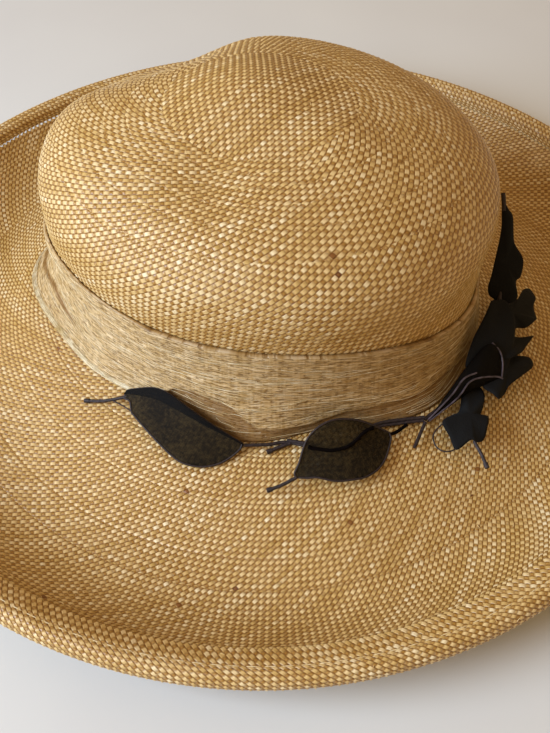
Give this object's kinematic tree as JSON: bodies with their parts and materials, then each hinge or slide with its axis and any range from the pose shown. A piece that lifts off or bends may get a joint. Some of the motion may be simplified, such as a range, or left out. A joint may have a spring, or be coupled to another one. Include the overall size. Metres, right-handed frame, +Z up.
{
  "type": "wide-brimmed straw hat",
  "caption": "Wide-brimmed woven straw hat with a soft round crown, an upturned rolled edge, a pale pleated band and a spray of dark leaves on wrapped wire.",
  "frame": {"origin": "middle of the hat's footprint, on the surface that the lowest ring of the brim stands on", "axes": "+Z up through the crown, -Y towards the front where the spray of leaves starts, +X to the wearer's left"},
  "size_m": [0.4066, 0.3952, 0.1271],
  "materials": {
    "straw": "plain-woven natural straw, silky",
    "band": "pale fibre cloth in fine pleats",
    "sheer_leaf": "sheer dark cloth, starched",
    "velvet_leaf": "black velvet",
    "wrapped_wire": "wire wrapped in dark paper tape"
  },
  "bodies": {
    "root": {"brim": "straw", "crown": "straw", "hat_band": "band", "leaf_left": "sheer_leaf", "leaf_centre": "sheer_leaf", "leaf_folded": "sheer_leaf", "leaf_hanging": "velvet_leaf", "leaf_low": "velvet_leaf", "leaf_pointed": "velvet_leaf", "leaf_upper": "velvet_leaf", "leaf_tall": "velvet_leaf", "stem_left": "wrapped_wire", "stem_main": "wrapped_wire", "stem_right": "wrapped_wire", "twig_centre": "wrapped_wire", "twig_leaf": "wrapped_wire", "twig_fork": "wrapped_wire", "twig_low": "wrapped_wire", "twig_tip": "wrapped_wire"}
  },
  "joints": []
}
